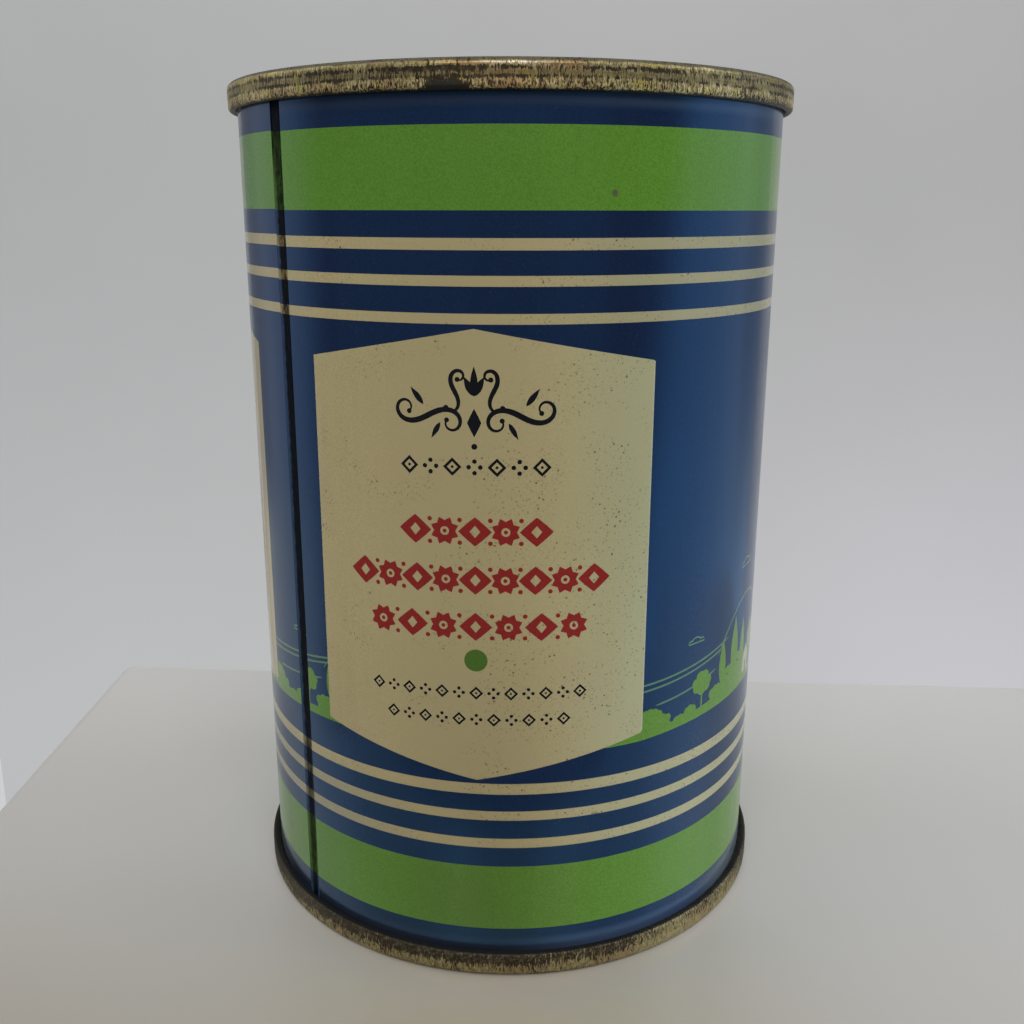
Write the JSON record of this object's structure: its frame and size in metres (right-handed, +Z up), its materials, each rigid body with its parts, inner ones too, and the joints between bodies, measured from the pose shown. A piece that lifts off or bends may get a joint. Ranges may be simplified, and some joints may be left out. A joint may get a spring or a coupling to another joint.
{
  "type": "coin bank",
  "caption": "Sealed tin can coin bank: printed body with a soldered side seam, rolled-on ends and a coin slot in the top.",
  "frame": {"origin": "middle of the base, on the plane that the lower double seam stands on", "axes": "+Z up along the axis of the can, -Y out of the middle of the printed front panel, +X to the right of someone who looks at it"},
  "size_m": [0.0683, 0.0682, 0.1016],
  "materials": {
    "blue_print": "dark blue ink on tinplate under gloss varnish",
    "green_print": "leaf green ink under gloss varnish",
    "cream_print": "aged cream coating under gloss varnish",
    "red_print": "brick red ink under gloss varnish",
    "gold_lacquer": "gold-lacquered tinplate, worn and tarnished",
    "solder": "dull dark solder",
    "compound": "matt sealing compound"
  },
  "bodies": {
    "root": {"body": "blue_print", "side_seam_solder": "solder", "bottom_end": "gold_lacquer", "bottom_seam_compound": "compound", "top_end": "gold_lacquer", "top_seam_compound": "compound"}
  },
  "joints": []
}
